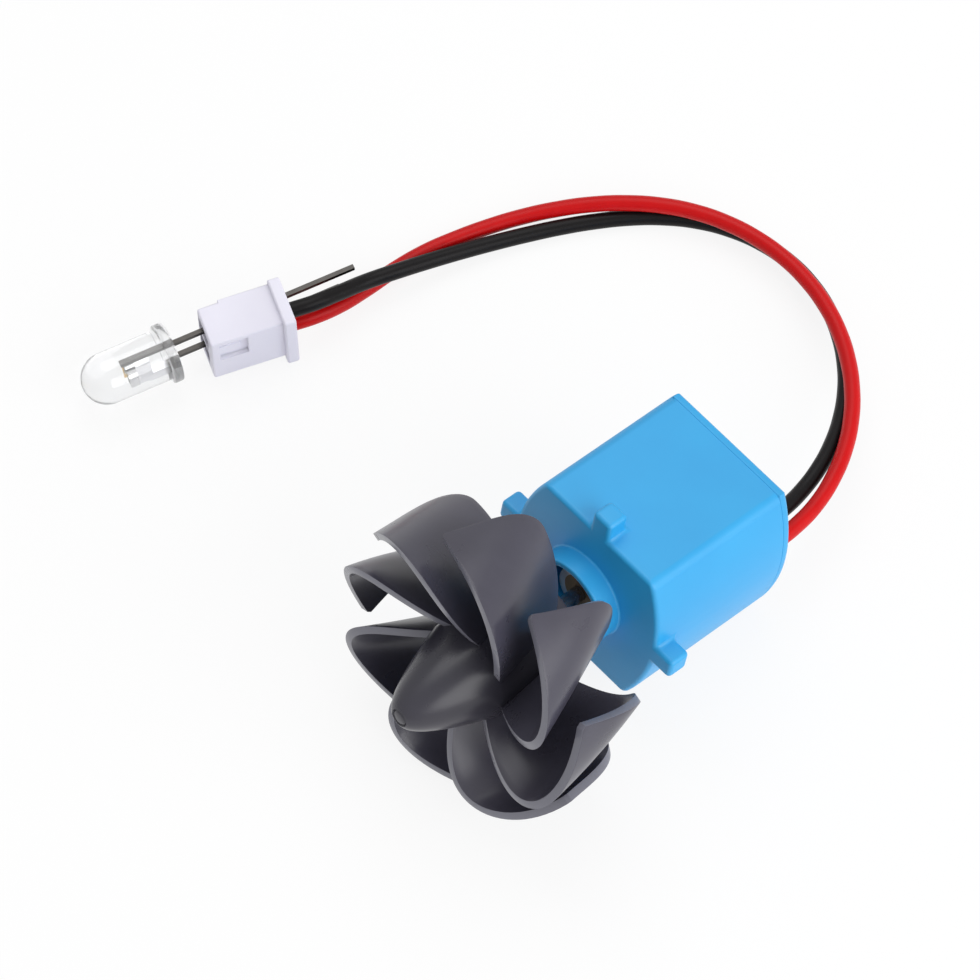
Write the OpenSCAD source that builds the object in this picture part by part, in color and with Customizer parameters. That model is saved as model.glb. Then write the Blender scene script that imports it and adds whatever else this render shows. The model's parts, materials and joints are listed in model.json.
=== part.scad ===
// Small demonstration wind generator: impeller, motor in a moulded case, two wires and a plug-in lamp.
// Millimetres. It lies on a table, on its blades and on the case's lower rear edge, with the nose towards -Y.

/* [Case] */
// Height of the case between its two flats
case_h = 17.4; // [16.8:0.1:20]
// Width of the case across its bulged sides
case_w = 18.4; // [17.8:0.1:21]
// Radius of the bulged sides
side_r = 18.5; // [14:0.5:30]
// Length of the case with its rear cover
case_len = 17; // [16:0.1:20]
// Thickness of the side walls
wall = 1.2; // [0.8:0.1:1.5]
// Thickness of the front wall
front_wall = 1.2; // [0.8:0.1:2]
// Thickness of the rear cover
cover_t = 0.9; // [0.6:0.1:1.5]
// Outer radius of the collar round the shaft
collar_r = 4.6; // [4:0.1:6]
// Height of the collar in front of the case
collar_h = 2.2; // [1:0.1:2.8]
// Wall of the collar
collar_wall = 0.7; // [0.5:0.1:1]
// Side of a locating peg
peg_side = 2.3; // [1.5:0.1:2.6]
// Reach of a locating peg out of the case
peg_reach = 2.2; // [1:0.1:2.4]

/* [Impeller] */
// Number of blades
blade_count = 8; // [6:1:9]
// Thickness of a blade
blade_t = 0.8; // [0.6:0.05:1]
// Distance from the blade tips' plane to the case's front face
tip_ahead = 13.9; // [13:0.1:16]
// Length of a blade behind the tips' plane
blade_len = 8.7; // [8:0.1:9.2]
// Turn of the blade in a millimetre of length, in degrees
blade_twist = 2.7; // [2:0.1:3]
// Angle of the first tip from the right, seen from the nose
tip_angle = 23.3; // [20:0.1:25]
// Radius of the hub
hub_r = 4.9; // [4.6:0.1:5.2]
// Length of the nose ahead of the tips' plane
nose_len = 8.9; // [7:0.1:11]
// Radius of the blunt nose end
nose_end_r = 0.8; // [0.5:0.1:1.2]

/* [Motor] */
// Radius of the shaft
shaft_r = 0.75; // [0.6:0.05:1]
// Length of the motor can
can_len = 10; // [9.6:0.1:11]
// Sheet thickness of the motor can
can_t = 0.4; // [0.3:0.05:0.6]
// Thickness of the field magnets
magnet_t = 1.3; // [1:0.1:1.6]
// Air gap between magnets and armature
air_gap = 0.3; // [0.2:0.05:0.5]
// Length of the armature stack
stack_len = 3.6; // [3:0.1:4]
// Radius of the commutator
commutator_r = 2; // [1.8:0.05:2.4]
// Length of the commutator
commutator_len = 1.8; // [1.4:0.1:2]

/* [Wires and lamp] */
// Diameter of an insulated wire
wire_d = 1.55; // [1.2:0.05:1.8]
// Distance between the two contacts
pitch = 2.5; // [2.4:0.01:2.6]
// Length of the wire housing
plug_len = 8.3; // [8:0.1:10]
// Height of the wire housing's flange, as it lies
plug_h = 7.4; // [7:0.1:8]
// Width of the wire housing's flange
plug_w = 5.3; // [5:0.05:6]
// Diameter of the lamp body
led_d = 5; // [4.8:0.1:5.2]
// Diameter of the lamp flange
led_flange_d = 5.9; // [5.6:0.1:6.2]
// Length of the lamp from its flange to the dome
led_len = 9.2; // [8:0.1:9.6]
// Side of a square lamp lead
lead_side = 0.45; // [0.4:0.05:0.6]
// Bare lead between the lamp and the housing
lead_gap = 3.2; // [2:0.1:5]
// Reach of the long lead behind the housing
long_reach = 7.4; // [5:0.1:8]
// Reach of the short lead behind the housing
short_reach = 5.8; // [3:0.1:6.5]

/* [Fits] */
// Radial clearance of the shaft in its bushes
run_clear = 0.03; // [0.01:0.01:0.06]
// Clearance of the motor and the cover in the case
seat_clear = 0.1; // [0.05:0.01:0.2]
// Clearance of wires and leads in their holes
hole_clear = 0.15; // [0.1:0.01:0.2]
// Gap between brushes and commutator
brush_clear = 0.1; // [0.05:0.01:0.15]

/* [Hidden] */
$fn = 64;

// A cut that runs a little past the face it opens
past = 0.5;

// Motor stations along the shaft: 0 is the case's front face, plus is towards the nose
can_r = min(case_h, case_w) / 2 - wall - seat_clear;
can_front = -front_wall;
can_rear = can_front - can_len;
can_boss_r = 2.6;
can_boss_h = 1.8;
bush_r = 1.9;
bell_t = 1;
bell_plug = 0.9;
bell_rear = can_rear - bell_t;
bell_boss_r = 2.4;
bell_boss_h = 0.8;
washer_t = 0.4;
washer_r = 1.7;
end_play = 0.2;
coil_room = 2;
magnet_r = can_r - can_t - magnet_t;
core_r = magnet_r - air_gap;
core_front = can_front - can_t - coil_room;
core_rear = core_front - stack_len;
arm_w = 1.6;
shoe_t = 0.9;
core_hub_r = 1.9;
coil_t = 0.8;
commutator_rear = can_rear + end_play + washer_t;
commutator_front = commutator_rear + commutator_len;
segment_t = 0.5;
brush_len = 1.2;
brush_side = 1.1;
brush_rear = can_rear + bell_plug + seat_clear;
leaf_t = 0.2;
leaf_w = 1.4;
tab_t = 0.3;
tab_w = 2;
leaf_x = commutator_r + brush_clear + brush_len;
magnet_arc = 118;
cover_front = -case_len + cover_t;
tongue_t = 0.9;
tongue_len = 1.4;
tongue_w = 8;
post_r = 0.9;
post_x = -5.2;
post_y = 2.6;

// Where the two wires leave the cover, seen from the nose: right, up
exit_y = -0.6;
black_exit_x = 4.6;
red_exit_x = 6.7;
wire_room = bell_rear - cover_front;
tab_len = 0.41 * wire_room;
black_run_z = bell_rear - 0.64 * wire_room;
red_run_z = bell_rear - 0.26 * wire_room;
solder_len = 0.8;

// Blade: a scooped curve in the plane of the tips, swept back along the shaft with an even turn
tip_z = tip_ahead;
curve_points = [[1, -4.1], [5.8, -7.6], [14, -10.7], [14.5, 0.5]];
front_lift = [0.3, 4, 5.5, 0.2];
root_step = 0.22;
round_from = 0.54;
round_power = 1.65;
tip_edge = 0.4;
curve_steps = 12;
depth_steps = 5;

// Ogive of the nose
nose_shoulder = 0.5;
nose_power = 0.6;
nose_steps = 12;
hub_rear = tip_z - blade_len - 0.2;
bore_len = 8;

function bezier(p, t) =
  pow(1 - t, 3) * p[0] + 3 * t * pow(1 - t, 2) * p[1] + 3 * t * t * (1 - t) * p[2] + t * t * t * p[3];
function bezier_slope(p, t) =
  3 * (1 - t) * (1 - t) * (p[1] - p[0]) + 6 * t * (1 - t) * (p[2] - p[1]) + 3 * t * t * (p[3] - p[2]);
function unit(v) = v / norm(v);
function turned(v, a) = [v[0] * cos(a) - v[1] * sin(a), v[0] * sin(a) + v[1] * cos(a)];
function blade_front(t) = -bezier(front_lift, t);
function blade_rear(t) =
  blade_len * (1 - root_step * (1 - t) * (1 - t)) -
  (blade_len - tip_edge - blade_front(1)) * pow(max(0, t - round_from) / (1 - round_from), round_power);
function blade_point(t, s, side) =
  let (
    slope = unit(bezier_slope(curve_points, t)),
    back = blade_front(t) + (blade_rear(t) - blade_front(t)) * s,
    flat = bezier(curve_points, t) + side * blade_t / 2 * [-slope[1], slope[0]],
    spun = turned(flat, blade_twist * back)
  ) [spun[0], spun[1], tip_z - back];
function blade_vertices() = [
  for (side = [1, -1]) for (i = [0 : curve_steps]) for (j = [0 : depth_steps])
    blade_point(i / curve_steps, j / depth_steps, side)
];

// The lie on the table: the nose lifts until the lowest blade point and the rear edge are level
blade_lows = [
  for (k = [0 : blade_count - 1]) for (p = blade_vertices())
    let (q = turned(p, tip_angle + k * 360 / blade_count)) atan((-q[1] - case_h / 2) / (p[2] + case_len))
];
tilt = max(blade_lows);
nose_z = tip_z + nose_len;
front_y = (case_h / 2 - nose_end_r) * sin(tilt) - (nose_z + case_len) * cos(tilt);
back_y = case_h * sin(tilt);
rear_edge_y = -(front_y + back_y) / 2;
function on_table(p) = [
  p[0],
  rear_edge_y + (p[1] + case_h / 2) * sin(tilt) - (p[2] + case_len) * cos(tilt),
  (p[1] + case_h / 2) * cos(tilt) + (p[2] + case_len) * sin(tilt)
];
module on_motor() {
  translate([0, rear_edge_y, 0]) rotate([90 - tilt, 0, 0]) translate([0, case_h / 2, case_len]) children();
}

// The wire housing lies on its narrow side, with its rear face at this place and heading
plug_at = [-43, 3.9];
plug_heading = 67.5;
lead_y = 0.85;
lead_slant = 6;
wire_y = 0.1;
low_z = (plug_h - pitch) / 2;
high_z = (plug_h + pitch) / 2;
wire_depth = 3;
contact_t = 0.2;
grip_clear = 0.05;
cavity_h = 2;
cavity_near = -wire_y + wire_d / 2 + hole_clear;
cavity_far = lead_y + plug_len * tan(lead_slant) + lead_side / 2 + grip_clear;
flange_len = 1.2;
side_step = 0.6;
far_step = 0.35;
top_step = 0.65;
window_len = 2.8;
window_h = 2.6;
window_depth = 0.5;
window_front = 0.8;
window_top = 0.5;
latch_h = 1.2;
rib_out = 0.25;
rib_w = 1;
rib_len = 5;
led_flange_t = 1;
function on_plug(p) = [
  plug_at[0] + p[0] * cos(plug_heading) - p[1] * sin(plug_heading),
  plug_at[1] + p[0] * sin(plug_heading) + p[1] * cos(plug_heading),
  p[2]
];
module at_plug() {
  translate([plug_at[0], plug_at[1], 0]) rotate([0, 0, plug_heading]) children();
}

// The lamp stands a little askew in the housing: its leads enter the front face at lead_y
module at_lamp() {
  at_plug() translate([-plug_len, lead_y, 0]) rotate([0, 0, lead_slant]) children();
}

// Routes of the wires over the table, from the slot in the cover to the housing
wire_sides = 8;
red_inside = [
  [leaf_x + tab_t + solder_len, exit_y, red_run_z], [red_exit_x - wire_d, exit_y, red_run_z - 0.05 * wire_room],
  [red_exit_x - wire_d / 4, exit_y, red_run_z - 0.28 * wire_room],
  [red_exit_x, exit_y, red_run_z - 0.6 * wire_room], [red_exit_x, exit_y, -case_len]
];
red_route = [
  [6.53, 22.52, 7.05], [5.95, 25.79, 6.48], [4.87, 28.97, 6.27], [3.3, 31.93, 5.9], [1.31, 34.63, 5.49],
  [-1.03, 37.01, 5.02], [-3.66, 39.05, 4.52], [-6.56, 40.72, 4.09], [-9.68, 41.94, 3.73],
  [-12.95, 42.68, 3.41], [-16.3, 42.91, 3.12], [-19.65, 42.61, 2.88], [-22.91, 41.78, 2.7],
  [-25.99, 40.42, 2.56], [-28.82, 38.59, 2.41], [-31.36, 36.39, 2.22], [-33.65, 33.93, 1.93],
  [-35.69, 31.27, 1.54], [-37.48, 28.44, 1.15], [-38.94, 25.41, 0.93], [-40.11, 22.25, 0.85],
  [-41.04, 19.01, 0.81], [-41.55, 15.68, 0.8], [-41.75, 12.32, 0.91], [-41.74, 9.06, 1.76]
];
black_inside = [
  [-leaf_x + solder_len, exit_y, black_run_z], [0, exit_y, black_run_z],
  [black_exit_x - 1.4 * wire_d, exit_y, black_run_z - 0.03 * wire_room],
  [black_exit_x - wire_d / 2, exit_y, black_run_z - 0.2 * wire_room], [black_exit_x, exit_y, -case_len]
];
black_route = [
  [4.43, 22.49, 6.93], [3.91, 25.64, 6.01], [3.06, 28.82, 5.55], [1.75, 31.8, 4.88], [0.06, 34.55, 4.06],
  [-1.97, 37.08, 3.31], [-4.33, 39.33, 2.67], [-7.01, 41.23, 2.15], [-9.98, 42.67, 1.72],
  [-13.16, 43.56, 1.37], [-16.47, 43.82, 1.11], [-19.76, 43.41, 0.93], [-22.9, 42.33, 0.84],
  [-25.78, 40.67, 0.81], [-28.33, 38.54, 0.8], [-30.56, 36.07, 0.8], [-32.51, 33.37, 0.8],
  [-34.25, 30.53, 0.82], [-35.8, 27.59, 0.9], [-37.2, 24.57, 1.09], [-38.45, 21.51, 1.41],
  [-39.53, 18.4, 1.9], [-40.46, 15.26, 2.53], [-41.42, 12.11, 2.97], [-41.77, 8.99, 4.05]
];
function wire_end(z) = [on_plug([2.5, wire_y, z]), on_plug([0, wire_y, z]), on_plug([-wire_depth, wire_y, z])];
red_path = concat([for (p = red_inside) on_table(p)], red_route, wire_end(low_z));
black_path = concat([for (p = black_inside) on_table(p)], black_route, wire_end(high_z));

module tube(path, d) {
  ends = len(path) - 1;
  function along(i) = unit(path[min(i + 1, ends)] - path[max(i - 1, 0)]);
  function ring(i) =
    let (t = along(i), across = unit(cross(t, [0, 0, 1])), lift = cross(across, t))
      [for (k = [0 : wire_sides - 1]) let (a = (k + 0.5) * 360 / wire_sides) path[i] + d / 2 * (cos(a) * across + sin(a) * lift)];
  points = [for (i = [0 : ends]) each ring(i)];
  skin = [
    for (i = [0 : ends - 1]) for (k = [0 : wire_sides - 1])
      let (a = i * wire_sides + k, b = i * wire_sides + (k + 1) % wire_sides)
        each [[a, b, b + wire_sides], [a, b + wire_sides, a + wire_sides]]
  ];
  first_cap = [for (k = [1 : wire_sides - 2]) [0, k + 1, k]];
  last_cap = [for (k = [1 : wire_sides - 2]) [ends * wire_sides, ends * wire_sides + k, ends * wire_sides + k + 1]];
  polyhedron(points, concat(skin, first_cap, last_cap));
}

module ring_arc(outer, inner, height, arc) {
  linear_extrude(height) intersection() {
    difference() {
      circle(outer);
      circle(inner);
    }
    polygon([[0, 0], for (k = [-3 : 3]) 1.3 * outer * [cos(k * arc / 6), sin(k * arc / 6)]]);
  }
}

// Outline of the case, drawn in by a wall
module case_outline(inset) {
  intersection() {
    square([2 * case_w, case_h - 2 * inset], center = true);
    translate([case_w / 2 - side_r, 0]) circle(side_r - inset, $fn = 180);
    translate([side_r - case_w / 2, 0]) circle(side_r - inset, $fn = 180);
  }
}

// Impeller
module blade() {
  rows = curve_steps + 1;
  columns = depth_steps + 1;
  under = rows * columns;
  function at(i, j) = i * columns + j;
  top = [
    for (i = [0 : curve_steps - 1]) for (j = [0 : depth_steps - 1])
      each [[at(i, j), at(i, j + 1), at(i + 1, j + 1)], [at(i, j), at(i + 1, j + 1), at(i + 1, j)]]
  ];
  rim = concat(
    [for (j = [0 : depth_steps]) at(0, j)], [for (i = [1 : curve_steps]) at(i, depth_steps)],
    [for (j = [depth_steps - 1 : -1 : 0]) at(curve_steps, j)], [for (i = [curve_steps - 1 : -1 : 1]) at(i, 0)]
  );
  bottom = [for (f = top) [f[0] + under, f[2] + under, f[1] + under]];
  edge = [
    for (n = [0 : len(rim) - 1])
      let (a = rim[n], b = rim[(n + 1) % len(rim)]) each [[b, a, a + under], [b, a + under, b + under]]
  ];
  polyhedron(blade_vertices(), concat(top, bottom, edge));
}
module hub() {
  function nose_r(u) = nose_end_r + (hub_r - nose_end_r) * pow(1 - u, nose_power);
  difference() {
    rotate_extrude() polygon(concat(
      [[0, hub_rear], [hub_r, hub_rear]],
      [for (n = [0 : nose_steps])
        let (u = n / nose_steps) [nose_r(u), tip_z + nose_shoulder + u * (nose_len - nose_shoulder)]],
      [[0, nose_z]]
    ));
    translate([0, 0, hub_rear - past]) cylinder(h = bore_len + past, r = shaft_r);
  }
}
module impeller() color([0.36, 0.36, 0.4]) on_motor() {
  union() {
    hub();
    for (k = [0 : blade_count - 1]) rotate([0, 0, tip_angle + k * 360 / blade_count]) blade();
  }
}

// Rotor of the motor
shaft_front = hub_rear + bore_len;
shaft_rear = bell_rear - bell_boss_h + 0.1;
module motor_shaft() color([0.75, 0.75, 0.78]) on_motor()
  translate([0, 0, shaft_rear]) cylinder(h = shaft_front - shaft_rear, r = shaft_r);
module armature_core() color([0.45, 0.46, 0.5]) on_motor() translate([0, 0, core_rear]) difference() {
  union() {
    cylinder(h = stack_len, r = core_hub_r);
    for (a = [90, 210, 330]) rotate([0, 0, a]) {
      translate([0, -arm_w / 2, 0]) cube([core_r - shoe_t / 2, arm_w, stack_len]);
      ring_arc(core_r, core_r - shoe_t, stack_len, 96);
    }
  }
  translate([0, 0, -past]) cylinder(h = stack_len + 2 * past, r = shaft_r);
}
module armature_windings() color([0.72, 0.4, 0.2]) on_motor() for (a = [90, 210, 330]) rotate([0, 0, a])
  translate([core_hub_r + 0.2, 0, core_rear - coil_t]) difference() {
    coil_r = core_r - shoe_t - core_hub_r - 0.4;
    translate([0, -arm_w / 2 - coil_t, 0]) cube([coil_r, arm_w + 2 * coil_t, stack_len + 2 * coil_t]);
    translate([-past, -arm_w / 2, coil_t]) cube([coil_r + 2 * past, arm_w, stack_len]);
  }
module commutator_hub() color([0.35, 0.2, 0.12]) on_motor() translate([0, 0, commutator_rear]) difference() {
  cylinder(h = core_rear - commutator_rear, r = commutator_r - segment_t);
  translate([0, 0, -past]) cylinder(h = core_rear - commutator_rear + 2 * past, r = shaft_r);
}
module commutator_segments() color([0.8, 0.5, 0.3]) on_motor() for (a = [30, 150, 270]) rotate([0, 0, a])
  translate([0, 0, commutator_rear]) ring_arc(commutator_r, commutator_r - segment_t, commutator_len, 112);
module washer(z, length) on_motor() translate([0, 0, z]) difference() {
  cylinder(h = length, r = washer_r);
  translate([0, 0, -past]) cylinder(h = length + 2 * past, r = shaft_r);
}
module front_spacer() color([0.9, 0.9, 0.85]) washer(core_front, coil_room - end_play);
module rear_washer() color([0.9, 0.9, 0.85]) washer(commutator_rear - washer_t, washer_t);

// Stator of the motor
module bush(z, length) on_motor() translate([0, 0, z]) difference() {
  cylinder(h = length, r = bush_r);
  translate([0, 0, -past]) cylinder(h = length + 2 * past, r = shaft_r + run_clear);
}
front_bush_len = can_boss_h + can_t;
rear_bush_len = bell_boss_h + bell_t;
module front_bush() color([0.7, 0.55, 0.3]) bush(can_front - can_t, front_bush_len);
module rear_bush() color([0.7, 0.55, 0.3]) bush(bell_rear - bell_boss_h, rear_bush_len);
module motor_can() color([0.55, 0.56, 0.58]) on_motor() difference() {
  union() {
    translate([0, 0, can_rear]) cylinder(h = can_len, r = can_r);
    translate([0, 0, can_front]) cylinder(h = can_boss_h, r = can_boss_r);
  }
  translate([0, 0, can_rear - past]) cylinder(h = can_len - can_t + past, r = can_r - can_t);
  translate([0, 0, can_front - can_t - past]) cylinder(h = can_boss_h + can_t + 2 * past, r = bush_r);
}
module field_magnets() color([0.2, 0.2, 0.22]) on_motor() for (a = [90, 270]) rotate([0, 0, a])
  translate([0, 0, core_rear - coil_t]) ring_arc(can_r - can_t, magnet_r, core_front - core_rear + 2 * coil_t, magnet_arc);
module end_bell() color([0.92, 0.92, 0.88]) on_motor() difference() {
  union() {
    translate([0, 0, bell_rear]) cylinder(h = bell_t, r = can_r);
    translate([0, 0, can_rear]) cylinder(h = bell_plug, r = can_r - can_t - seat_clear / 2);
    translate([0, 0, bell_rear - bell_boss_h]) cylinder(h = bell_boss_h, r = bell_boss_r);
  }
  translate([0, 0, bell_rear - bell_boss_h - past]) cylinder(h = rear_bush_len + past, r = bush_r);
  translate([0, 0, can_rear]) cylinder(h = bell_plug + past, r = commutator_r + air_gap);
  for (side = [0, 180]) rotate([0, 0, side])
    translate([leaf_x, -tab_w / 2, bell_rear - past]) cube([tab_t, tab_w, bell_t + bell_plug + 2 * past]);
}
module brush_leaves() color([0.8, 0.65, 0.3]) on_motor() for (side = [0, 180]) rotate([0, 0, side])
  translate([leaf_x, -leaf_w / 2, can_rear + bell_plug])
    cube([leaf_t, leaf_w, commutator_front - can_rear - bell_plug]);
module carbon_brushes() color([0.15, 0.15, 0.16]) on_motor() for (side = [0, 180]) rotate([0, 0, side])
  translate([commutator_r + brush_clear, -brush_side / 2, brush_rear])
    cube([brush_len, brush_side, brush_side]);
module motor_terminals() color([0.8, 0.78, 0.7]) on_motor() {
  translate([leaf_x, -tab_w / 2, bell_rear - tab_len]) cube([tab_t, tab_w, tab_len + bell_t + bell_plug]);
  translate([-leaf_x - tab_t, -tab_w / 2, black_run_z - wire_d / 2])
    cube([tab_t, tab_w, can_rear + bell_plug - black_run_z + wire_d / 2]);
}
module solder_joints() color([0.78, 0.78, 0.8]) on_motor() {
  translate([leaf_x + tab_t, exit_y, red_run_z]) rotate([0, 90, 0]) cylinder(h = solder_len, r = wire_d * 0.4);
  translate([-leaf_x, exit_y, black_run_z]) rotate([0, 90, 0]) cylinder(h = solder_len, r = wire_d * 0.4);
}

// Case
module case_body() color([0.27, 0.68, 0.92]) on_motor() difference() {
  union() {
    translate([0, 0, cover_front]) linear_extrude(-cover_front) case_outline(0);
    cylinder(h = collar_h, r = collar_r);
    for (quarter = [0 : 3]) {
      half = quarter % 2 == 0 ? case_w / 2 : case_h / 2;
      rotate([0, 0, 90 * quarter]) translate([half - wall / 2, -peg_side / 2, -peg_side])
        cube([peg_reach + wall / 2, peg_side, peg_side]);
    }
  }
  translate([0, 0, cover_front - past]) linear_extrude(-cover_front - front_wall + past) case_outline(wall);
  translate([0, 0, -front_wall - past]) cylinder(h = front_wall + collar_h + 2 * past, r = collar_r - collar_wall);
}
module rear_cover() color([0.3, 0.7, 0.94]) on_motor() {
  difference() {
    union() {
      translate([0, 0, -case_len]) linear_extrude(cover_t) case_outline(0);
      translate([0, 0, cover_front]) linear_extrude(tongue_len) intersection() {
        difference() {
          case_outline(wall + seat_clear);
          case_outline(wall + seat_clear + tongue_t);
        }
        square([tongue_w, 2 * case_h], center = true);
      }
      for (side = [-1, 1]) translate([post_x, side * post_y, cover_front])
        cylinder(h = bell_rear - cover_front, r = post_r);
    }
    translate([0, 0, -case_len - past]) linear_extrude(cover_t + 2 * past) {
      for (x = [black_exit_x, red_exit_x]) translate([x, exit_y]) circle(wire_d / 2 + hole_clear);
      translate([black_exit_x, exit_y - wire_d / 2 - hole_clear])
        square([red_exit_x - black_exit_x, wire_d + 2 * hole_clear]);
    }
  }
}

// Wires
module red_wire() color([0.84, 0.1, 0.14]) tube(red_path, wire_d);
module black_wire() color([0.12, 0.11, 0.12]) tube(black_path, wire_d);

// Wire housing and its contacts
module connector_housing() color([0.91, 0.9, 0.96]) at_plug() difference() {
  body_w = plug_w - side_step - far_step;
  body_top = plug_h - top_step;
  near = -plug_w / 2 + side_step;
  union() {
    translate([-plug_len, near, top_step]) cube([plug_len, body_w, plug_h - 2 * top_step]);
    translate([-flange_len, -plug_w / 2, 0]) cube([flange_len, plug_w, plug_h]);
    for (z = [top_step, body_top - rib_w]) translate([-flange_len - rib_len, near, z])
      cube([rib_len, body_w + rib_out, rib_w]);
  }
  for (z = [low_z, high_z]) translate([-plug_len - past, -cavity_near, z - cavity_h / 2])
    cube([plug_len + 2 * past, cavity_near + cavity_far, cavity_h]);
  translate([-plug_len + window_front, near, body_top - window_top - window_h]) difference() {
    translate([0, -past, 0]) cube([window_len, window_depth + past, window_h]);
    translate([-past, window_depth / 2, (window_h - latch_h) / 2])
      cube([window_len - past / 2, window_depth, latch_h]);
  }
}
module crimp_contacts() color([0.8, 0.78, 0.72]) at_plug() for (z = [low_z, high_z])
  translate([-plug_len + 1, -cavity_near, z - cavity_h / 2]) difference() {
    cube([plug_len - wire_depth - 1, cavity_near + cavity_far, cavity_h]);
    translate([-past, contact_t, contact_t])
      cube([plug_len, cavity_near + cavity_far - 2 * contact_t, cavity_h - 2 * contact_t]);
  }

// Lamp
led_axis_z = (low_z + high_z) / 2;
post_top = 5.3;
anvil_top = 4;
anvil_w = 1.6;
cup_h = 0.9;
cup_r = 0.75;
die_side = 0.3;
die_t = 0.15;
bond_r = 0.1;
cup_z = led_axis_z - 0.6;
module lead(z, reach, top) {
  translate([-lead_gap - top, -lead_side / 2, z - lead_side / 2])
    cube([top + lead_gap + plug_len + reach, lead_side, lead_side]);
}
module anode() {
  lead(high_z, long_reach, post_top);
}
module cathode() {
  lead(low_z, short_reach, anvil_top - 1);
  translate([-lead_gap - anvil_top, -lead_side / 2, cup_z - anvil_w / 2])
    cube([1.5, lead_side, anvil_w]);
}
module cup_space() {
  translate([-lead_gap - anvil_top - cup_h, 0, cup_z]) rotate([0, 90, 0]) cylinder(h = cup_h, r = cup_r);
}
module reflector_cup() {
  difference() {
    cup_space();
    translate([-lead_gap - anvil_top - cup_h - past, 0, cup_z]) rotate([0, 90, 0])
      cylinder(h = cup_h / 2 + past, r = cup_r * 0.7);
  }
}
module die() {
  translate([-lead_gap - anvil_top - cup_h / 2 - die_t, -die_side / 2, cup_z - die_side / 2])
    cube([die_t, die_side, die_side]);
}
module bond() {
  translate([-lead_gap - post_top + 0.2, 0, cup_z])
    cylinder(h = high_z - lead_side / 2 - cup_z, r = bond_r * 0.8);
  translate([-lead_gap - post_top + 0.2 - bond_r, 0, cup_z]) rotate([0, 90, 0])
    cylinder(h = post_top - 0.2 + bond_r - anvil_top - cup_h / 2 - die_t, r = bond_r);
}
module led_lens() color([0.9, 0.95, 0.96, 0.5]) at_lamp() difference() {
  translate([-lead_gap, 0, led_axis_z]) rotate([0, -90, 0]) union() {
    cylinder(h = led_len - led_d / 2, r = led_d / 2);
    intersection() {
      cylinder(h = led_flange_t, r = led_flange_d / 2);
      translate([-led_d / 2, -led_flange_d, 0]) cube([2 * led_flange_d, 2 * led_flange_d, led_flange_t]);
    }
    translate([0, 0, led_len - led_d / 2]) sphere(led_d / 2);
  }
  anode();
  cathode();
  cup_space();
  bond();
}
module led_anode_lead() color([0.75, 0.75, 0.76]) at_lamp() anode();
module led_cathode_lead() color([0.75, 0.75, 0.76]) at_lamp() cathode();
module led_reflector() color([0.85, 0.85, 0.86]) at_lamp() reflector_cup();
module led_die() color([0.95, 0.9, 0.4]) at_lamp() die();
module led_bond_wire() color([0.9, 0.75, 0.3]) at_lamp() bond();

impeller();
motor_shaft();
armature_core();
armature_windings();
commutator_hub();
commutator_segments();
front_spacer();
rear_washer();
motor_can();
field_magnets();
front_bush();
end_bell();
rear_bush();
brush_leaves();
carbon_brushes();
motor_terminals();
solder_joints();
case_body();
rear_cover();
red_wire();
black_wire();
connector_housing();
crimp_contacts();
led_lens();
led_anode_lead();
led_cathode_lead();
led_reflector();
led_die();
led_bond_wire();
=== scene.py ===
"""Looks of a small demonstration wind generator: impeller, blue motor case, two wires and a plug-in lamp."""
import json
import math

import bmesh
import bpy
from mathutils import Matrix, Vector


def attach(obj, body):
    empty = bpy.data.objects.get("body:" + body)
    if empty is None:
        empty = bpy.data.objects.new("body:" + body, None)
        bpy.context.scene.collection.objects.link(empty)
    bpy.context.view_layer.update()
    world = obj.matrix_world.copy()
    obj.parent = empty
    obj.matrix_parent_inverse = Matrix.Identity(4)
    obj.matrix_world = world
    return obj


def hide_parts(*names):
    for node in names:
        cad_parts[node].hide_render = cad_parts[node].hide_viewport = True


MM = 0.001
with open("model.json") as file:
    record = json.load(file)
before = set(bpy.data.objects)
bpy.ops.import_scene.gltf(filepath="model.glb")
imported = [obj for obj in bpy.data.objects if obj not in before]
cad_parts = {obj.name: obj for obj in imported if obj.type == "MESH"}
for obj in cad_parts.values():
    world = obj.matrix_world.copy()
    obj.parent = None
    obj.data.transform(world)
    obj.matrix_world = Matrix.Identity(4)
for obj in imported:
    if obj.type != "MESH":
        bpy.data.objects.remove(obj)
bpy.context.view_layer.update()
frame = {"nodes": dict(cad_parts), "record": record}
joints = {j["name"]: j for j in frame["record"]["behaviour"]["joints"]}

# The motor's own axes: x to the right seen from the nose, y up through the top flat, z out of the nose
shaft = Vector(joints["shaft_spin"]["axis"]).normalized()
right = Vector((1, 0, 0))
upward = shaft.cross(right)
MOTOR_AT = Vector(joints["shaft_spin"]["pos_m"])
MOTOR = Matrix.Translation(MOTOR_AT) @ Matrix((right, upward, shaft)).transposed().to_4x4()
MOTOR_BACK = MOTOR.inverted()

# Case and cover, in the motor's axes, in millimetres: the front wall's face is at z = 0
CASE_LEN, COVER_T, COLLAR_R = 17.0, 0.9, 5.0
EXIT_Y, BLACK_EXIT_X, RED_EXIT_X = -0.6, 4.6, 6.7
SLOT_X, SLOT_W = (BLACK_EXIT_X + RED_EXIT_X) / 2, 4.2

# The wire housing's own axes: x from the lamp towards the wires, z up from the table
PLUG_AT = Vector((-43.0, 3.9, 0.0))
PLUG_HEADING = math.radians(67.5)
PLUG = Matrix.Translation(PLUG_AT * MM) @ Matrix.Rotation(PLUG_HEADING, 4, "Z")
PLUG_BACK = PLUG.inverted()
WIRE_Y, LOW_Z, HIGH_Z = 0.1, 2.45, 4.95
WIRE_D = 1.55

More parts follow.
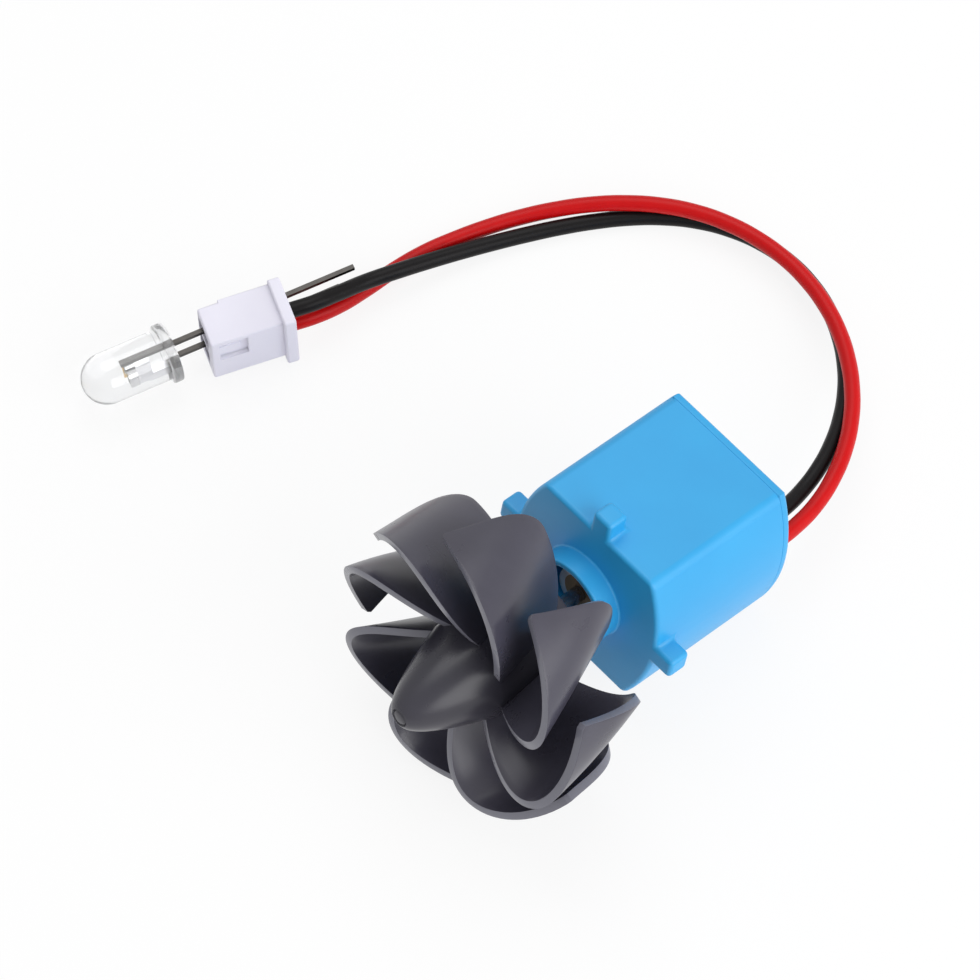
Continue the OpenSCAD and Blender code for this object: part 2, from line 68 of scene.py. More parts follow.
# Zones round the housing's small features: two channels, the latch window near by and the ribs behind
CHANNEL_Y, CHANNEL_W, CHANNEL_LOW, CHANNEL_HIGH = 0.59, 3.03, 1.4, 6.0
WINDOW_FROM, WINDOW_TO, WINDOW_Y, WINDOW_LOW, WINDOW_HIGH = -7.6, -4.6, -1.5, 3.6, 6.3
RIB_Y, RIB_TO = 2.35, -1.1

# The lamp's own axes: it stands a little askew in the housing's front face
PLUG_LEN, LEAD_Y, LEAD_GAP = 8.3, 0.85, 3.2
LEAD_SLANT = math.radians(6)
LAMP = PLUG @ Matrix.Translation(Vector((-PLUG_LEN, LEAD_Y, 0)) * MM) @ Matrix.Rotation(LEAD_SLANT, 4, "Z")
LED_R, LED_FLANGE_R, LED_FLANGE_T, LED_LEN = 2.5, 2.95, 1.0, 9.2

# Where the leads are bright: from behind the flange's face on, and below the long lead's post
PLATED_FROM, PLATED_FULL, PLATED_TOP, PLATED_FADE = 0.8, 1.4, 4.6, 0.3


def on_motor(x, y, z):
    return MOTOR @ (Vector((x, y, z)) * MM)


def on_plug(x, y, z):
    return PLUG @ (Vector((x, y, z)) * MM)


# Camera, at the photograph's viewing angle: distance in metres, lens in millimetres, shift in pixels
AZIMUTH, ELEVATION, DISTANCE = math.radians(47.3), math.radians(63.2), 0.55
SENSOR, LENS, FRAME = 36, 220.8, 980
SHIFT_RIGHT, SHIFT_UP = -107.5, 118.0
LOOK_AT = Vector((0, 3.7, 6)) * MM


def aim_camera():
    back = Vector((
        math.sin(AZIMUTH) * math.cos(ELEVATION),
        -math.cos(AZIMUTH) * math.cos(ELEVATION),
        math.sin(ELEVATION),
    ))
    data = bpy.data.cameras.new("camera")
    data.sensor_width = SENSOR
    data.lens = LENS
    data.shift_x = SHIFT_RIGHT / FRAME
    data.shift_y = SHIFT_UP / FRAME
    data.clip_start = 0.05
    data.clip_end = 20
    camera = bpy.data.objects.new("camera", data)
    bpy.context.collection.objects.link(camera)
    camera.location = LOOK_AT + DISTANCE * back
    camera.rotation_euler = (-back).to_track_quat("-Z", "Y").to_euler()
    bpy.context.scene.camera = camera


aim_camera()


# Shader maths
GRAIN_DEPTH, LINE_DEPTH = 0.03 * MM, 0.02 * MM


def linear(r, g, b):
    """A colour as it shows on a screen, 0 to 255, as the shader's own values."""
    def one(c):
        c /= 255
        return c / 12.92 if c <= 0.04045 else ((c + 0.055) / 1.055) ** 2.4
    return (one(r), one(g), one(b), 1.0)


class Value:
    """A socket's value, so that Math nodes are written as an expression."""

    def __init__(self, finish, socket):
        self.finish = finish
        self.socket = socket

    def _math(self, operation, a, b):
        return self.finish.node("ShaderNodeMath", {"operation": operation}, {0: a, 1: b})

    def __add__(self, other):
        return self._math("ADD", self, other)

    def __radd__(self, other):
        return self._math("ADD", other, self)

    def __mul__(self, other):
        return self._math("MULTIPLY", self, other)

    def __rmul__(self, other):
        return self._math("MULTIPLY", other, self)


class Finish:
    """One material: a Principled shader, with the nodes that shape its colour, gloss and relief."""

    def __init__(self, name, **settings):
        self.material = bpy.data.materials.new(name)
        self.material.use_nodes = True
        self.tree = self.material.node_tree
        self.shader = self.tree.nodes["Principled BSDF"]
        for socket, value in settings.items():
            self.shader.inputs[socket.replace("_", " ")].default_value = value

    def node(self, kind, settings=None, inputs=None, out=0):
        made = self.tree.nodes.new(kind)
        for name, value in (settings or {}).items():
            setattr(made, name, value)
        for key, value in (inputs or {}).items():
            self.feed(made.inputs[key], value)
        return Value(self, made.outputs[out])

    def feed(self, socket, value):
        if isinstance(value, Value):
            self.tree.links.new(value.socket, socket)
        else:
            socket.default_value = value

    def set(self, name, value):
        self.feed(self.shader.inputs[name], value)

    def place(self):
        """Where a point lies on the piece, in its own coordinates."""
        return self.node("ShaderNodeTexCoord", out="Object")

    def noise(self, scale, detail=3.0, roughness=0.5, stretch=(1, 1, 1)):
        stretched = self.node("ShaderNodeMapping", None, {"Vector": self.place(), "Scale": stretch})
        return self.node("ShaderNodeTexNoise", None, {
            "Vector": stretched, "Scale": scale, "Detail": detail, "Roughness": roughness,
        })

    def mix(self, factor, a, b):
        return self.node("ShaderNodeMix", {"data_type": "RGBA"}, {0: factor, 6: a, 7: b}, out=2)

    def relief(self, height, strength, distance):
        self.set("Normal", self.node(
            "ShaderNodeBump", None, {"Height": height, "Strength": strength, "Distance": distance}
        ))


def moulded(name, colour, deep, gloss, grain=900.0, relief=0.05):
    """Moulded plastic: faint clouding from the flow of the melt and a fine skin grain."""
    finish = Finish(name, Roughness=gloss, IOR=1.5)
    cloud = finish.noise(160.0, 4.0, 0.55)
    grain_field = finish.noise(grain * 6, 2.0)
    finish.set("Base Color", finish.mix(cloud, deep, colour))
    finish.set("Roughness", gloss - 0.06 + cloud * 0.08 + grain_field * 0.06)
    finish.relief(grain_field, relief, GRAIN_DEPTH)
    return name, finish.material


def metal(name, colour, gloss, stretch=(1, 1, 1), scale=4000.0):
    """Metal with fine drawn or turned lines."""
    finish = Finish(name, Metallic=1.0, Roughness=gloss)
    lines = finish.noise(scale, 3.0, 0.6, stretch)
    dull = finish.noise(500.0, 3.0)
    dark = tuple(c * 0.7 for c in colour[:3]) + (1.0,)
    finish.set("Base Color", finish.mix(dull, dark, colour))
    finish.set("Roughness", gloss - 0.08 + lines * 0.12 + dull * 0.06)
    finish.relief(lines, 0.08, LINE_DEPTH)
    return name, finish.material


def insulation(name, colour, deep, sheen):
    """Smooth extruded wire insulation with faint die lines and handling marks."""
    finish = Finish(name, Roughness=0.38, IOR=1.48, Specular_IOR_Level=sheen)
    marks = finish.noise(700.0, 4.0, 0.6)
    finish.set("Base Color", finish.mix(marks, deep, colour))
    finish.set("Roughness", 0.3 + marks * 0.18)
    finish.relief(marks, 0.06, GRAIN_DEPTH)
    return name, finish.material


def clear_resin(name):
    """Clear cast resin of the lamp, with a faint swirl."""
    finish = Finish(name, Roughness=0.03, IOR=1.5, Transmission_Weight=0.82)
    swirl = finish.noise(260.0, 2.0)
    finish.set("Base Color", finish.mix(swirl, (0.97, 0.97, 0.99, 1), (0.985, 0.995, 0.99, 1)))
    finish.set("Roughness", 0.02 + swirl * 0.03)
    return name, finish.material


def lead_finish(name):
    """Tinned lead wire, dull outside and bright where it is plated inside the lamp."""
    finish = Finish(name, Metallic=1.0, Roughness=0.3)
    dull = finish.noise(900.0, 3.0)
    axis = -(LAMP.to_3x3() @ Vector((1, 0, 0)))
    place = finish.place()
    along = finish.node(
        "ShaderNodeVectorMath", {"operation": "DOT_PRODUCT"}, {0: place, 1: axis}, out="Value",
    )
    flange = axis.dot(LAMP.translation) + LEAD_GAP * MM
    inside = finish.node("ShaderNodeMapRange", None, {
        "Value": along, "From Min": flange + PLATED_FROM * MM, "From Max": flange + PLATED_FULL * MM,
    })
    height = finish.node("ShaderNodeSeparateXYZ", None, {"Vector": place}, out="Z")
    below = finish.node("ShaderNodeMapRange", None, {
        "Value": height, "From Min": PLATED_TOP * MM, "From Max": (PLATED_TOP - PLATED_FADE) * MM,
    })
    outside = finish.mix(dull, linear(54, 52, 50), linear(86, 84, 82))
    finish.set("Base Color", finish.mix(inside * below, outside, linear(232, 232, 236)))
    finish.set("Roughness", 0.24 + dull * 0.14)
    finish.relief(dull, 0.08, LINE_DEPTH)
    return name, finish.material


def impeller_plastic(name):
    """Grey glossy moulding: flow clouds, random browner patches as a painted reflection, a darker nose as
    painted shade, and paler blades' rims as a painted highlight.
    """
    finish = Finish(name, Roughness=0.26, IOR=1.5)
    cloud = finish.noise(140.0, 5.0, 0.6)
    # Painted reflection: random browner patches in the colour, standing in for mottled reflections on the
    # gloss.
    painted_reflection = finish.noise(60.0, 3.0)
    flow = finish.noise(420.0, 3.0, 0.5, (1, 1, 3))
    rim = finish.node("ShaderNodeAttribute", {"attribute_name": "rim"}, out="Fac")
    nose = finish.node("ShaderNodeAttribute", {"attribute_name": "nose"}, out="Fac")
    blade = finish.mix(cloud, linear(54, 54, 66), linear(76, 76, 90))
    # Painted shade: the nose, the same moulding as the blades, is made darker in its colour.
    painted_nose_shade = finish.mix(nose * 0.8, blade, linear(43, 44, 54))
    skin = finish.mix(painted_reflection * 0.4, painted_nose_shade, linear(70, 62, 69))
    # Painted highlight: the blades' edge strip faces are made paler, for light caught along the rims.
    finish.set("Base Color", finish.mix(rim * 0.75, skin, linear(128, 128, 139)))
    finish.set("Roughness", 0.2 + cloud * 0.14 + flow * 0.04)
    finish.relief(flow, 0.02, LINE_DEPTH)
    return name, finish.material


FINISHES = dict([
    moulded("case_blue", linear(48, 168, 227), linear(39, 156, 218), 0.4),
    impeller_plastic("impeller_grey"),
    moulded("connector_white", linear(240, 238, 250), linear(229, 227, 242), 0.42),
    moulded("bell_plastic", linear(236, 234, 224), linear(222, 220, 208), 0.45),
    moulded("spacer_nylon", linear(232, 230, 218), linear(220, 216, 202), 0.4),
    moulded("hub_resin", linear(110, 66, 40), linear(88, 50, 30), 0.5),
    moulded("carbon", linear(58, 58, 60), linear(38, 38, 40), 0.6, 1400.0, 0.2),
    moulded("magnet", linear(72, 72, 76), linear(52, 52, 56), 0.62, 1200.0, 0.2),
    moulded("die", linear(232, 222, 120), linear(212, 196, 90), 0.4),
    insulation("red_insulation", linear(208, 9, 13), linear(192, 5, 9), 0.22),
    insulation("black_insulation", linear(23, 21, 22), linear(15, 13, 14), 0.16),
    metal("motor_steel", linear(168, 168, 172), 0.34),
    metal("shaft_steel", linear(196, 197, 202), 0.24),
    metal("core_steel", linear(130, 132, 138), 0.42, (1, 12, 1)),
    metal("bush_bronze", linear(120, 100, 74), 0.5),
    metal("leaf_brass", linear(214, 180, 104), 0.28),
    metal("copper_wire", linear(196, 112, 62), 0.3, (14, 1, 1), scale=900.0),
    metal("copper_segment", linear(206, 132, 84), 0.3),
    metal("tinned_tab", linear(204, 202, 196), 0.28),
    metal("tinned_contact", linear(204, 202, 196), 0.28),
    metal("solder", linear(200, 200, 204), 0.22),
    lead_finish("lead_steel"),
    metal("reflector_silver", linear(226, 226, 228), 0.16),
    metal("bond_gold", linear(228, 190, 96), 0.2),
    clear_resin("clear_lens"),
])
SLOTS = {s["node"]: s["material_slot"] for s in frame["record"]["subparts"]}
for name, obj in frame["nodes"].items():
    obj.data.materials.clear()
    obj.data.materials.append(FINISHES[SLOTS[name]])


# Pieces
def new_object(name, mesh, slot):
    obj = bpy.data.objects.new(name, mesh)
    bpy.context.collection.objects.link(obj)
    mesh.materials.clear()
    mesh.materials.append(FINISHES[slot])
    return obj


def settle(obj):
    """Applies the modifiers and leaves one plain mesh."""
    graph = bpy.context.evaluated_depsgraph_get()
    mesh = bpy.data.meshes.new_from_object(obj.evaluated_get(graph))
    obj.modifiers.clear()
    old = obj.data
    obj.data = mesh
    bpy.data.meshes.remove(old)


# An edge that turns by more than this is a moulded edge
EDGE_TURN = math.radians(40)


def shade_smooth(mesh):
    for polygon in mesh.polygons:
        polygon.use_smooth = True


def smooth(mesh):
    shade_smooth(mesh)
    mesh.set_sharp_from_angle(angle=EDGE_TURN)


def stand_for(obj, body, slot, *nodes):
    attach(obj, body)
    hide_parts(*nodes)


def softened(node, body, width, share, segments=3):
    """The node's own shape with its moulded edges rounded; share gives an edge's part of the full width."""
    work = bmesh.new()
    work.from_mesh(frame["nodes"][node].data)
    bmesh.ops.remove_doubles(work, verts=work.verts, dist=2e-6)
    bmesh.ops.dissolve_limit(work, angle_limit=math.radians(1), verts=work.verts, edges=work.edges)
    mesh = bpy.data.meshes.new(node + "_soft")
    weights = []
    for edge in work.edges:
        faces = edge.link_faces
        turn = faces[0].normal.angle(faces[1].normal, 0) if len(faces) == 2 else 0
        middle = (edge.verts[0].co + edge.verts[1].co) / 2
        weights.append(share(middle, edge.is_convex) if turn > EDGE_TURN else 0.0)
    work.to_mesh(mesh)
    work.free()
    mesh.attributes.new("bevel_weight_edge", "FLOAT", "EDGE").data.foreach_set("value", weights)
    obj = new_object(node + "_soft", mesh, SLOTS[node])
    bevel = obj.modifiers.new("edges", "BEVEL")
    bevel.width = width * MM
    bevel.segments = segments
    bevel.limit_method = "WEIGHT"
    bevel.use_clamp_overlap = False
    bevel.loop_slide = False
    shade_smooth(mesh)
    flats = obj.modifiers.new("flats", "WEIGHTED_NORMAL")
    flats.weight = 100
    flats.thresh = 0.001
    settle(obj)
    stand_for(obj, body, SLOTS[node], node)
    return obj


def lathe(profile, steps, name):
    """A turned shape about z from (radius, z) pairs in millimetres, both ends on the axis."""
    work = bmesh.new()
    rings = []
    for r, z in profile:
        if r == 0:
            rings.append([work.verts.new((0, 0, z * MM))])
        else:
            rings.append([
                work.verts.new((r * MM * math.cos(a), r * MM * math.sin(a), z * MM))
                for a in (2 * math.pi * k / steps for k in range(steps))
            ])
    for low, high in zip(rings, rings[1:]):
        for k in range(steps):
            n = (k + 1) % steps
            corners = [low[k % len(low)], low[n % len(low)], high[n % len(high)], high[k % len(high)]]
            unique = list(dict.fromkeys(corners))
            if len(unique) > 2:
                work.faces.new(unique)
    bmesh.ops.recalc_face_normals(work, faces=work.faces)
    mesh = bpy.data.meshes.new(name)
    work.to_mesh(mesh)
    work.free()
    return mesh


# Impeller: one scooped, twisted blade, repeated round the shaft, with the hub and its nose
BLADE_CURVE = [Vector((1.0, -4.1)), Vector((5.8, -7.6)), Vector((14.0, -10.7)), Vector((14.5, 0.5))]
FRONT_LIFT = [0.3, 4.0, 5.5, 0.2]
BLADE_COUNT, BLADE_LEN, BLADE_T, TIP_EDGE = 8, 8.7, 0.8, 0.4
ROOT_STEP, ROUND_FROM, ROUND_POWER = 0.22, 0.54, 1.65
BLADE_TWIST, TIP_ANGLE, TIP_Z = 2.7, 23.3, 13.9
BLADE_EDGE, BLADE_EDGE_TURN = 0.2, math.radians(50)
HUB_R, HUB_BACK, HUB_EDGE = 4.9, 0.2, 0.25
NOSE_LEN, NOSE_END_R, NOSE_SHOULDER, NOSE_POWER = 8.9, 0.8, 0.5, 0.6
NOSE_STEPS, NOSE_CROWD, NOSE_END_EDGE = 40, 1.6, 0.2


def bezier(p, t):
    u = 1 - t
    return u ** 3 * p[0] + 3 * t * u * u * p[1] + 3 * t * t * u * p[2] + t ** 3 * p[3]


def bezier_slope(p, t):
    u = 1 - t
    return 3 * u * u * (p[1] - p[0]) + 6 * t * u * (p[2] - p[1]) + 3 * t * t * (p[3] - p[2])


def blade_point(t, s, side):
    slope = bezier_slope(BLADE_CURVE, t).normalized()
    front = -bezier(FRONT_LIFT, t)
    tip_front = -FRONT_LIFT[3]
    rounding = (max(0, t - ROUND_FROM) / (1 - ROUND_FROM)) ** ROUND_POWER
    rear = BLADE_LEN * (1 - ROOT_STEP * (1 - t) ** 2) - (BLADE_LEN - TIP_EDGE - tip_front) * rounding
    back = front + (rear - front) * s
    flat = bezier(BLADE_CURVE, t) + side * BLADE_T / 2 * Vector((-slope.y, slope.x))
    turn = math.radians(BLADE_TWIST * back)
    return Vector((
        flat.x * math.cos(turn) - flat.y * math.sin(turn),
        flat.x * math.sin(turn) + flat.y * math.cos(turn),
        TIP_Z - back,
    )) * MM


def blade_mesh(along=44, deep=18):
    work = bmesh.new()
    rim_highlight = work.faces.layers.float.new("rim")

    def row(i, side):
        return [work.verts.new(blade_point(i / along, j / deep, side)) for j in range(deep + 1)]

    grid = {side: [row(i, side) for i in range(along + 1)] for side in (1, -1)}
    for rows in grid.values():
        for i in range(along):
            for j in range(deep):
                work.faces.new((rows[i][j], rows[i + 1][j], rows[i + 1][j + 1], rows[i][j + 1]))
    rim = [(0, j) for j in range(deep)] + [(i, deep) for i in range(along)]
    rim += [(along, j) for j in range(deep, 0, -1)] + [(i, 0) for i in range(along, 0, -1)]
    top, under = grid[1], grid[-1]
    # The edge strips are marked for the painted highlight along the blades' rims.
    for (i, j), (m, n) in zip(rim, rim[1:] + rim[:1]):
        strip = work.faces.new((top[i][j], top[m][n], under[m][n], under[i][j]))
        strip[rim_highlight] = 1.0
    bmesh.ops.recalc_face_normals(work, faces=work.faces)
    mesh = bpy.data.meshes.new("blade")
    work.to_mesh(mesh)
    work.free()
    return mesh


def ring_tree():
    """Repeats a shape round the shaft: the inputs are the shape, how many, the first angle and the finish."""
    tree = bpy.data.node_groups.new("round_the_shaft", "GeometryNodeTree")
    face = tree.interface
    face.new_socket("Shape", in_out="INPUT", socket_type="NodeSocketGeometry")
    face.new_socket("Count", in_out="INPUT", socket_type="NodeSocketInt")
    face.new_socket("First angle", in_out="INPUT", socket_type="NodeSocketFloat")
    face.new_socket("Finish", in_out="INPUT", socket_type="NodeSocketMaterial")
    face.new_socket("Shape", in_out="OUTPUT", socket_type="NodeSocketGeometry")
    nodes, link = tree.nodes, tree.links.new
    given, out = nodes.new("NodeGroupInput"), nodes.new("NodeGroupOutput")
    line = nodes.new("GeometryNodeMeshLine")
    line.inputs["Offset"].default_value = (0, 0, 0)
    link(given.outputs["Count"], line.inputs["Count"])
    index = nodes.new("GeometryNodeInputIndex")
    step = nodes.new("ShaderNodeMath")
    step.operation = "DIVIDE"
    step.inputs[0].default_value = 2 * math.pi
    link(given.outputs["Count"], step.inputs[1])
    angle = nodes.new("ShaderNodeMath")
    angle.operation = "MULTIPLY_ADD"
    link(index.outputs[0], angle.inputs[0])
    link(step.outputs[0], angle.inputs[1])
    link(given.outputs["First angle"], angle.inputs[2])
    turn = nodes.new("ShaderNodeCombineXYZ")
    link(angle.outputs[0], turn.inputs["Z"])
    place = nodes.new("GeometryNodeInstanceOnPoints")
    link(line.outputs[0], place.inputs["Points"])
    link(given.outputs["Shape"], place.inputs["Instance"])
    link(turn.outputs[0], place.inputs["Rotation"])
    real = nodes.new("GeometryNodeRealizeInstances")
    link(place.outputs[0], real.inputs[0])
    skin = nodes.new("GeometryNodeSetMaterial")
    link(real.outputs[0], skin.inputs["Geometry"])
    link(given.outputs["Finish"], skin.inputs["Material"])
    link(skin.outputs[0], out.inputs[0])
    return tree


def make_blades():
    blades = new_object("impeller_blades", blade_mesh(), "impeller_grey")
    edge = blades.modifiers.new("edges", "BEVEL")
    edge.width = BLADE_EDGE * MM
    edge.segments = 3
    edge.limit_method = "ANGLE"
    edge.angle_limit = BLADE_EDGE_TURN
    settle(blades)
    tree = ring_tree()
    ring = blades.modifiers.new("ring", "NODES")
    ring.node_group = tree
    keys = {item.name: item.identifier for item in tree.interface.items_tree if item.in_out == "INPUT"}
    ring[keys["Count"]] = BLADE_COUNT
    ring[keys["First angle"]] = math.radians(TIP_ANGLE)
    ring[keys["Finish"]] = FINISHES["impeller_grey"]
    settle(blades)
    return blades


def make_hub():
    """The hub with its nose, which narrows to a small rounded end."""
    rear, front = TIP_Z - BLADE_LEN - HUB_BACK, TIP_Z + NOSE_LEN
    corner = HUB_EDGE * 0.28
    profile = [(0, rear), (HUB_R - HUB_EDGE, rear), (HUB_R - corner, rear + corner), (HUB_R, rear + HUB_EDGE)]
    for n in range(NOSE_STEPS + 1):
        u = 1 - (1 - n / NOSE_STEPS) ** NOSE_CROWD
        r = NOSE_END_R + (HUB_R - NOSE_END_R) * (1 - u) ** NOSE_POWER
        z = TIP_Z + NOSE_SHOULDER + u * (NOSE_LEN - NOSE_SHOULDER)
        profile.append((r, z - NOSE_END_EDGE if n == NOSE_STEPS else z))
    profile += [(NOSE_END_R * 0.85, front - NOSE_END_EDGE * 0.3), (NOSE_END_R * 0.6, front), (0, front)]
    hub = new_object("impeller_hub", lathe(profile, 96, "hub"), "impeller_grey")
    # Marks every face of the hub and nose for the painted shade in the impeller's finish.
    shade = hub.data.attributes.new("nose", "FLOAT", "FACE")
    shade.data.foreach_set("value", [1.0] * len(hub.data.polygons))
    return hub


for piece in (make_blades(), make_hub()):
    piece.data.transform(MOTOR)
    smooth(piece.data)
    stand_for(piece, "rotor", "impeller_grey", "impeller")


# Case, housing and lamp: how far each edge is rounded, from 0, sharp, to 1, the full width
NEAR_JOINT, NEAR_FRONT, NEAR_BACK = 0.2, 2.5, 0.1


def case_edges(place, _outward):
    """Full rounding outside, less on the collar, next to none on the joint line with the cover."""
    there = (MOTOR_BACK @ place) / MM
    if there.z < -CASE_LEN + COVER_T + NEAR_JOINT:
        return 0.1
    if there.xy.length < COLLAR_R:
        return 0.3
    return 0.65 if there.z > -NEAR_FRONT else 1.0


def cover_edges(place, _outward):
    """The outer rim is rounded, the wire slot less, and the joint line and tongues hardly."""
    there = (MOTOR_BACK @ place) / MM
    if there.z > -CASE_LEN + NEAR_BACK:
        return 0.12
    in_slot = abs(there.x - SLOT_X) < SLOT_W / 2 and abs(there.y - EXIT_Y) < WIRE_D
    return 0.3 if in_slot else 1.0


def plug_edges(place, outward):
    """Inner corners stay sharp; the channels, the latch window and the ribs are crisper than the shell."""
    if not outward:
        return 0.0
    x, y, z = (PLUG_BACK @ place) / MM
    in_channel = abs(y - CHANNEL_Y) < CHANNEL_W / 2 and CHANNEL_LOW < z < CHANNEL_HIGH
    in_window = WINDOW_FROM < x < WINDOW_TO and y < WINDOW_Y and WINDOW_LOW < z < WINDOW_HIGH
    by_ribs = y > RIB_Y and x < RIB_TO
    return 0.3 if in_channel or in_window or by_ribs else 1.0


softened("case_body", "housing", 0.7, case_edges, 4)
softened("rear_cover", "housing", 0.45, cover_edges)
plug_shell = softened("connector_housing", "housing", 0.22, plug_edges)


def make_lens():
    """The clear body: a flange with rounded edges and one flat, a straight wall and a dome."""
    r, t = LED_FLANGE_R, LED_FLANGE_T
    flange = [
        (0, 0), (r - 0.2, 0), (r - 0.05, 0.06), (r, 0.2),
        (r, t - 0.18), (r - 0.07, t - 0.05), (r - 0.23, t),
    ]
    wall = [(LED_R, t + 0.02), (LED_R, 3.0)]
    angles = [math.pi / 2 * k / 24 for k in range(24)]
    dome = [(LED_R * math.cos(a), LED_LEN - LED_R + LED_R * math.sin(a)) for a in angles] + [(0, LED_LEN)]
    mesh = lathe(flange + wall + dome, 96, "lens")
    for vertex in mesh.vertices:
        vertex.co.x = max(vertex.co.x, -LED_R * MM)
    seat = Matrix.Translation(Vector((-LEAD_GAP, 0, (LOW_Z + HIGH_Z) / 2)) * MM)
    mesh.transform(LAMP @ seat @ Matrix.Rotation(math.radians(-90), 4, "Y"))
    lens = new_object("lamp_lens", mesh, "clear_lens")
    smooth(mesh)
    stand_for(lens, "lamp", "clear_lens", "led_lens")
    return lens


lens = make_lens()

# Wires: the same routes over the table as the solids, in millimetres
RED_ROUTE = [
    (6.53, 22.52, 7.05), (5.95, 25.79, 6.48), (4.87, 28.97, 6.27), (3.3, 31.93, 5.9), (1.31, 34.63, 5.49),
    (-1.03, 37.01, 5.02), (-3.66, 39.05, 4.52), (-6.56, 40.72, 4.09), (-9.68, 41.94, 3.73),
    (-12.95, 42.68, 3.41), (-16.3, 42.91, 3.12), (-19.65, 42.61, 2.88), (-22.91, 41.78, 2.7),
    (-25.99, 40.42, 2.56), (-28.82, 38.59, 2.41), (-31.36, 36.39, 2.22), (-33.65, 33.93, 1.93),
    (-35.69, 31.27, 1.54), (-37.48, 28.44, 1.15), (-38.94, 25.41, 0.93), (-40.11, 22.25, 0.85),
    (-41.04, 19.01, 0.81), (-41.55, 15.68, 0.8), (-41.75, 12.32, 0.91), (-41.74, 9.06, 1.76),
]
BLACK_ROUTE = [
    (4.43, 22.49, 6.93), (3.91, 25.64, 6.01), (3.06, 28.82, 5.55), (1.75, 31.8, 4.88), (0.06, 34.55, 4.06),
    (-1.97, 37.08, 3.31), (-4.33, 39.33, 2.67), (-7.01, 41.23, 2.15), (-9.98, 42.67, 1.72),
    (-13.16, 43.56, 1.37), (-16.47, 43.82, 1.11), (-19.76, 43.41, 0.93), (-22.9, 42.33, 0.84),
    (-25.78, 40.67, 0.81), (-28.33, 38.54, 0.8), (-30.56, 36.07, 0.8), (-32.51, 33.37, 0.8),
    (-34.25, 30.53, 0.82), (-35.8, 27.59, 0.9), (-37.2, 24.57, 1.09), (-38.45, 21.51, 1.41),
    (-39.53, 18.4, 1.9), (-40.46, 15.26, 2.53), (-41.42, 12.11, 2.97), (-41.77, 8.99, 4.05),
]
INSIDE_COVER, BEFORE_PLUG, INSIDE_PLUG = 1.2, 2.5, 3.0


def make_wire(name, node, slot, exit_x, route, height):
    points = [on_motor(exit_x, EXIT_Y, -CASE_LEN + INSIDE_COVER), on_motor(exit_x, EXIT_Y, -CASE_LEN)]
    points += [Vector(p) * MM for p in route]
    points += [on_plug(x, WIRE_Y, height) for x in (BEFORE_PLUG, 0, -INSIDE_PLUG)]
    data = bpy.data.curves.new(name, "CURVE")
    data.dimensions = "3D"
    data.resolution_u = 10
    data.bevel_depth = WIRE_D / 2 * MM
    data.bevel_resolution = 6
    data.use_fill_caps = True
    spline = data.splines.new("BEZIER")
    spline.bezier_points.add(len(points) - 1)
    for point, place in zip(spline.bezier_points, points):
        point.co = place
        point.handle_left_type = point.handle_right_type = "AUTO"
    data.materials.append(FINISHES[slot])
    wire = bpy.data.objects.new(name, data)
    bpy.context.collection.objects.link(wire)
    stand_for(wire, "housing", slot, node)


make_wire(
    "red_lead_wire", "red_wire", "red_insulation",
    RED_EXIT_X, RED_ROUTE, LOW_Z,
)
make_wire(
    "black_lead_wire", "black_wire", "black_insulation",
    BLACK_EXIT_X, BLACK_ROUTE, HIGH_Z,
)


# Floor and light: the floor is seen mostly as its own white, and the rest of it keeps the shadow
FLOOR_HALF, FLOOR_WHITE = 3.0, 0.86
LIT_POINT = Vector((0, 0, 0.01))


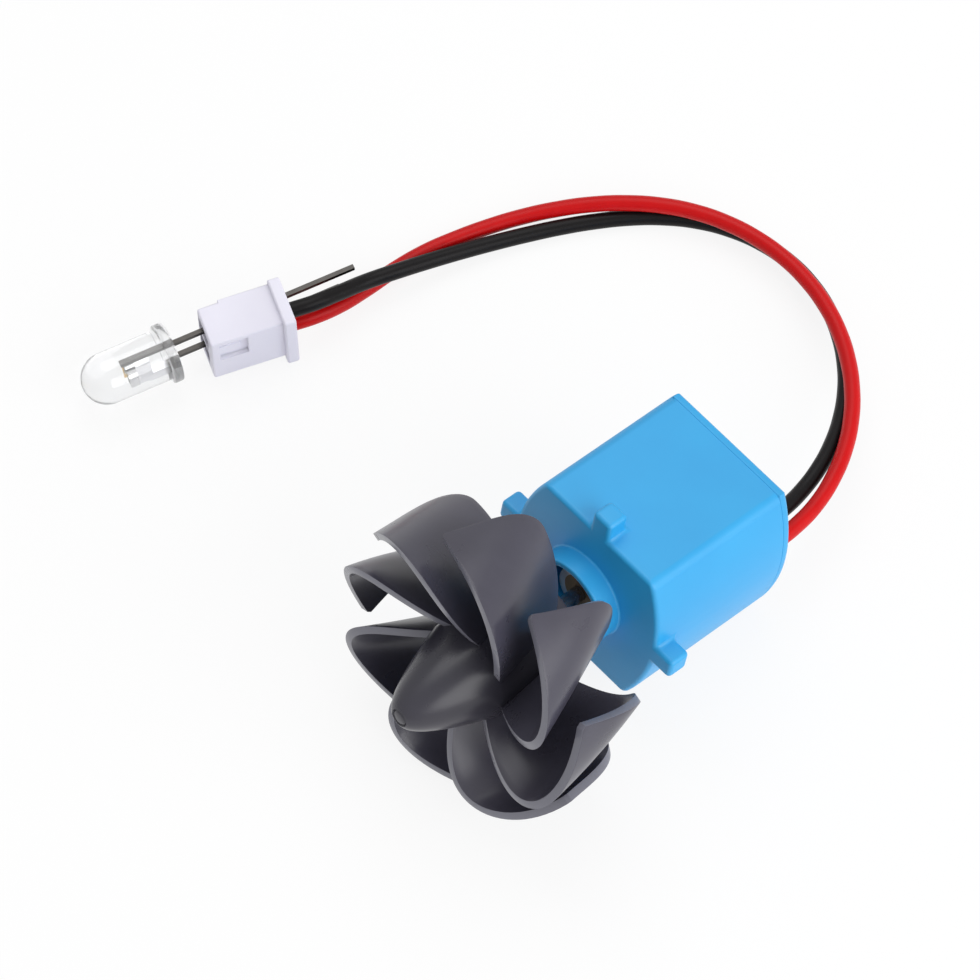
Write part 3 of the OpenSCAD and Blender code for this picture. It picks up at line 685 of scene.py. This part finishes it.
def make_stage():
    mesh = bpy.data.meshes.new("floor")
    turns = ((-1, -1), (1, -1), (1, 1), (-1, 1))
    mesh.from_pydata([(x * FLOOR_HALF, y * FLOOR_HALF, 0) for x, y in turns], [], [(0, 1, 2, 3)])
    floor = bpy.data.objects.new("floor", mesh)
    bpy.context.collection.objects.link(floor)
    finish = Finish("floor_white", Roughness=0.6)
    finish.shader.inputs["Base Color"].default_value = (0.95, 0.95, 0.955, 1)
    rays = finish.tree.nodes.new("ShaderNodeLightPath")
    glow = finish.tree.nodes.new("ShaderNodeEmission")
    glow.inputs["Strength"].default_value = 1.0
    seen = Value(finish, rays.outputs["Is Camera Ray"]) + Value(finish, rays.outputs["Is Transmission Ray"])
    seen = seen + Value(finish, rays.outputs["Is Glossy Ray"])
    blend = finish.tree.nodes.new("ShaderNodeMixShader")
    finish.feed(blend.inputs[0], seen * FLOOR_WHITE)
    finish.tree.links.new(finish.shader.outputs[0], blend.inputs[1])
    finish.tree.links.new(glow.outputs[0], blend.inputs[2])
    finish.tree.links.new(blend.outputs[0], finish.tree.nodes["Material Output"].inputs[0])
    mesh.materials.append(finish.material)


def area_light(name, place, size, power):
    """A round soft light aimed at the object: place and size in metres, power in watts."""
    data = bpy.data.lights.new(name, "AREA")
    data.shape = "DISK"
    data.size = size
    data.energy = power
    light = bpy.data.objects.new(name, data)
    bpy.context.collection.objects.link(light)
    light.location = place
    light.rotation_euler = (LIT_POINT - Vector(place)).to_track_quat("-Z", "Y").to_euler()


def light_scene():
    world = bpy.data.worlds.new("studio")
    bpy.context.scene.world = world
    world.use_nodes = True
    tree = world.node_tree
    sky = tree.nodes["Background"]
    sky.inputs["Color"].default_value = (1, 1, 1, 1)
    sky.inputs["Strength"].default_value = 0.5
    white = tree.nodes.new("ShaderNodeBackground")
    white.inputs["Strength"].default_value = 1.0
    rays = tree.nodes.new("ShaderNodeLightPath")
    seen = rays.outputs["Is Camera Ray"]
    for kind in ("Is Transmission Ray", "Is Glossy Ray"):
        either = tree.nodes.new("ShaderNodeMath")
        either.operation = "MAXIMUM"
        tree.links.new(seen, either.inputs[0])
        tree.links.new(rays.outputs[kind], either.inputs[1])
        seen = either.outputs[0]
    blend = tree.nodes.new("ShaderNodeMixShader")
    tree.links.new(seen, blend.inputs[0])
    tree.links.new(sky.outputs[0], blend.inputs[1])
    tree.links.new(white.outputs[0], blend.inputs[2])
    tree.links.new(blend.outputs[0], tree.nodes["World Output"].inputs[0])
    area_light("key", (0.65, 0.12, 0.34), 0.8, 4.2)
    area_light("fill", (-0.3, 0.25, 0.75), 0.7, 2.4)


make_stage()
light_scene()
bpy.context.scene.view_settings.view_transform = "Standard"
